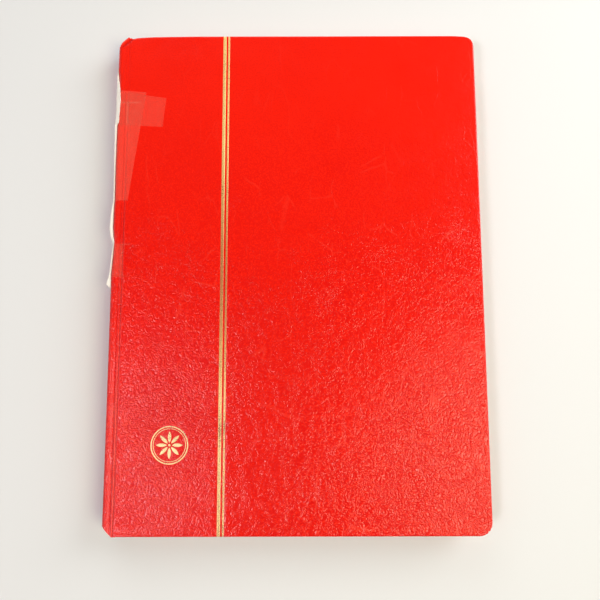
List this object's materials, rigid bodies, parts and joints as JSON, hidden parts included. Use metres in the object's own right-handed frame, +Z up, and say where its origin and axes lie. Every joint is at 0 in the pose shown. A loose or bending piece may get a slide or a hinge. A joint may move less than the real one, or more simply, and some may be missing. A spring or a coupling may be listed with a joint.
{
  "type": "stamp album",
  "caption": "Hardcover stamp stockbook: leatherette case with foil stripes, hinged spine, and card pages with clear pocket strips, linen hinges and glassine interleaves.",
  "frame": {"origin": "centre of the closed album's box, on the face of the back cover that it lies on", "axes": "+X from the spine to the fore-edge, +Y from the tail to the head, +Z up through the front cover"},
  "size_m": [0.224, 0.305, 0.0168],
  "materials": {
    "leatherette": "gloss",
    "greyboard": "matte",
    "endpaper": "matte",
    "page_card": "matte",
    "glassine_strip": "gloss",
    "glassine": "satin",
    "linen": "matte",
    "mull": "matte",
    "thread": "matte",
    "headband_cloth": "matte",
    "gold_foil": "gloss",
    "clear_tape": "gloss"
  },
  "bodies": {
    "back_cover": {"back_board": "greyboard", "back_skin": "leatherette", "back_pastedown": "endpaper"},
    "spine": {"spine_skin": "leatherette", "spine_board": "greyboard", "spine_lining": "mull", "sewn_guards": "linen", "sewing_threads": "thread", "headbands": "headband_cloth"},
    "front_cover": {"front_board": "greyboard", "front_skin": "leatherette", "front_pastedown": "endpaper", "gold_stripe_wide": "gold_foil", "gold_stripe_narrow": "gold_foil", "gold_medallion": "gold_foil", "tape_upper": "clear_tape", "tape_middle": "clear_tape", "tape_lower": "clear_tape"},
    "front_flyleaf_sheet": {"front_flyleaf": "endpaper"},
    "leaf_1": {"leaf_1_card": "page_card", "leaf_1_strips": "glassine_strip", "leaf_1_linen": "linen"},
    "interleaf_1_sheet": {"interleaf_1": "glassine"},
    "leaf_2": {"leaf_2_card": "page_card", "leaf_2_strips": "glassine_strip", "leaf_2_linen": "linen"},
    "interleaf_2_sheet": {"interleaf_2": "glassine"},
    "leaf_3": {"leaf_3_card": "page_card", "leaf_3_strips": "glassine_strip", "leaf_3_linen": "linen"},
    "interleaf_3_sheet": {"interleaf_3": "glassine"},
    "leaf_4": {"leaf_4_card": "page_card", "leaf_4_strips": "glassine_strip", "leaf_4_linen": "linen"},
    "interleaf_4_sheet": {"interleaf_4": "glassine"},
    "leaf_5": {"leaf_5_card": "page_card", "leaf_5_strips": "glassine_strip", "leaf_5_linen": "linen"},
    "interleaf_5_sheet": {"interleaf_5": "glassine"},
    "leaf_6": {"leaf_6_card": "page_card", "leaf_6_strips": "glassine_strip", "leaf_6_linen": "linen"},
    "interleaf_6_sheet": {"interleaf_6": "glassine"},
    "leaf_7": {"leaf_7_card": "page_card", "leaf_7_strips": "glassine_strip", "leaf_7_linen": "linen"},
    "interleaf_7_sheet": {"interleaf_7": "glassine"},
    "leaf_8": {"leaf_8_card": "page_card", "leaf_8_strips": "glassine_strip", "leaf_8_linen": "linen"},
    "back_flyleaf_sheet": {"back_flyleaf": "endpaper"}
  },
  "joints": [
    {"name": "spine_hinge", "type": "hinge", "parent": "back_cover", "child": "spine", "pos_m": [-0.1095, 0, 0.0025], "axis": [0, -1, 0], "range_deg": [0, 90]},
    {"name": "front_cover_hinge", "type": "hinge", "parent": "spine", "child": "front_cover", "pos_m": [-0.1095, 0, 0.0142], "axis": [0, -1, 0], "range_deg": [0, 90]},
    {"name": "front_flyleaf_hinge", "type": "hinge", "parent": "spine", "child": "front_flyleaf_sheet", "pos_m": [-0.106, 0, 0.01355], "axis": [0, -1, 0], "range_deg": [0, 82.5]},
    {"name": "leaf_1_hinge", "type": "hinge", "parent": "spine", "child": "leaf_1", "pos_m": [-0.106, 0, 0.0129], "axis": [0, -1, 0], "range_deg": [0, 72.5]},
    {"name": "interleaf_1_hinge", "type": "hinge", "parent": "spine", "child": "interleaf_1_sheet", "pos_m": [-0.106, 0, 0.01225], "axis": [0, -1, 0], "range_deg": [0, 62.5]},
    {"name": "leaf_2_hinge", "type": "hinge", "parent": "spine", "child": "leaf_2", "pos_m": [-0.106, 0, 0.0116], "axis": [0, -1, 0], "range_deg": [0, 52.5]},
    {"name": "interleaf_2_hinge", "type": "hinge", "parent": "spine", "child": "interleaf_2_sheet", "pos_m": [-0.106, 0, 0.01095], "axis": [0, -1, 0], "range_deg": [0, 42.5]},
    {"name": "leaf_3_hinge", "type": "hinge", "parent": "spine", "child": "leaf_3", "pos_m": [-0.106, 0, 0.0103], "axis": [0, -1, 0], "range_deg": [0, 32.5]},
    {"name": "interleaf_3_hinge", "type": "hinge", "parent": "spine", "child": "interleaf_3_sheet", "pos_m": [-0.106, 0, 0.00965], "axis": [0, -1, 0], "range_deg": [0, 22.5]},
    {"name": "leaf_4_hinge", "type": "hinge", "parent": "spine", "child": "leaf_4", "pos_m": [-0.106, 0, 0.009], "axis": [0, -1, 0], "range_deg": [0, 12.5]},
    {"name": "interleaf_4_hinge", "type": "hinge", "parent": "spine", "child": "interleaf_4_sheet", "pos_m": [-0.106, 0, 0.00835], "axis": [0, -1, 0], "range_deg": [0, 2.5]},
    {"name": "leaf_5_hinge", "type": "hinge", "parent": "spine", "child": "leaf_5", "pos_m": [-0.106, 0, 0.0077], "axis": [0, -1, 0], "range_deg": [-7.5, 0]},
    {"name": "interleaf_5_hinge", "type": "hinge", "parent": "spine", "child": "interleaf_5_sheet", "pos_m": [-0.106, 0, 0.00705], "axis": [0, -1, 0], "range_deg": [-17.5, 0]},
    {"name": "leaf_6_hinge", "type": "hinge", "parent": "spine", "child": "leaf_6", "pos_m": [-0.106, 0, 0.0064], "axis": [0, -1, 0], "range_deg": [-27.5, 0]},
    {"name": "interleaf_6_hinge", "type": "hinge", "parent": "spine", "child": "interleaf_6_sheet", "pos_m": [-0.106, 0, 0.00575], "axis": [0, -1, 0], "range_deg": [-37.5, 0]},
    {"name": "leaf_7_hinge", "type": "hinge", "parent": "spine", "child": "leaf_7", "pos_m": [-0.106, 0, 0.0051], "axis": [0, -1, 0], "range_deg": [-47.5, 0]},
    {"name": "interleaf_7_hinge", "type": "hinge", "parent": "spine", "child": "interleaf_7_sheet", "pos_m": [-0.106, 0, 0.00445], "axis": [0, -1, 0], "range_deg": [-57.5, 0]},
    {"name": "leaf_8_hinge", "type": "hinge", "parent": "spine", "child": "leaf_8", "pos_m": [-0.106, 0, 0.0038], "axis": [0, -1, 0], "range_deg": [-67.5, 0]},
    {"name": "back_flyleaf_hinge", "type": "hinge", "parent": "spine", "child": "back_flyleaf_sheet", "pos_m": [-0.106, 0, 0.00315], "axis": [0, -1, 0], "range_deg": [-77.5, 0]}
  ],
  "couplings": [
    {"joint": "spine_hinge", "follows": "front_cover_hinge", "ratio": 1},
    {"joint": "front_flyleaf_hinge", "follows": "front_cover_hinge", "ratio": 0.91667},
    {"joint": "leaf_1_hinge", "follows": "front_cover_hinge", "ratio": 0.80556},
    {"joint": "interleaf_1_hinge", "follows": "front_cover_hinge", "ratio": 0.69444},
    {"joint": "leaf_2_hinge", "follows": "front_cover_hinge", "ratio": 0.58333},
    {"joint": "interleaf_2_hinge", "follows": "front_cover_hinge", "ratio": 0.47222},
    {"joint": "leaf_3_hinge", "follows": "front_cover_hinge", "ratio": 0.36111},
    {"joint": "interleaf_3_hinge", "follows": "front_cover_hinge", "ratio": 0.25},
    {"joint": "leaf_4_hinge", "follows": "front_cover_hinge", "ratio": 0.13889},
    {"joint": "interleaf_4_hinge", "follows": "front_cover_hinge", "ratio": 0.02778},
    {"joint": "leaf_5_hinge", "follows": "front_cover_hinge", "ratio": -0.08333},
    {"joint": "interleaf_5_hinge", "follows": "front_cover_hinge", "ratio": -0.19444},
    {"joint": "leaf_6_hinge", "follows": "front_cover_hinge", "ratio": -0.30556},
    {"joint": "interleaf_6_hinge", "follows": "front_cover_hinge", "ratio": -0.41667},
    {"joint": "leaf_7_hinge", "follows": "front_cover_hinge", "ratio": -0.52778},
    {"joint": "interleaf_7_hinge", "follows": "front_cover_hinge", "ratio": -0.63889},
    {"joint": "leaf_8_hinge", "follows": "front_cover_hinge", "ratio": -0.75},
    {"joint": "back_flyleaf_hinge", "follows": "front_cover_hinge", "ratio": -0.86111}
  ]
}
